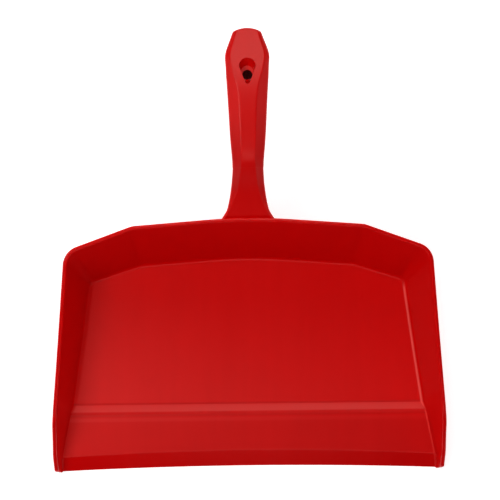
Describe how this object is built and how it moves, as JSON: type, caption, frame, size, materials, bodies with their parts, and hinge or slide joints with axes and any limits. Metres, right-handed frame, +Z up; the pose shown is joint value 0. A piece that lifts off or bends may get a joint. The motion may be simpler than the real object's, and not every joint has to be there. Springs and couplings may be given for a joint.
{
  "type": "dustpan",
  "caption": "Wide hand dustpan with a deep flared scoop, a ridged ramp behind a thin sweeping lip, and a raised hollow grip with a hanging eye.",
  "frame": {"origin": "on the ground, under the middle of the object's length and width", "axes": "+Z up, +Y from the sweeping lip towards the end of the grip, +X to the right seen from above with the grip pointing up; the plane x = 0 is the mirror plane"},
  "size_m": [0.2972, 0.33, 0.1],
  "materials": {
    "red_polypropylene": "satin"
  },
  "bodies": {
    "root": {"pan": "red_polypropylene", "grip_top_shell": "red_polypropylene", "grip_bottom_shell": "red_polypropylene"}
  },
  "joints": []
}
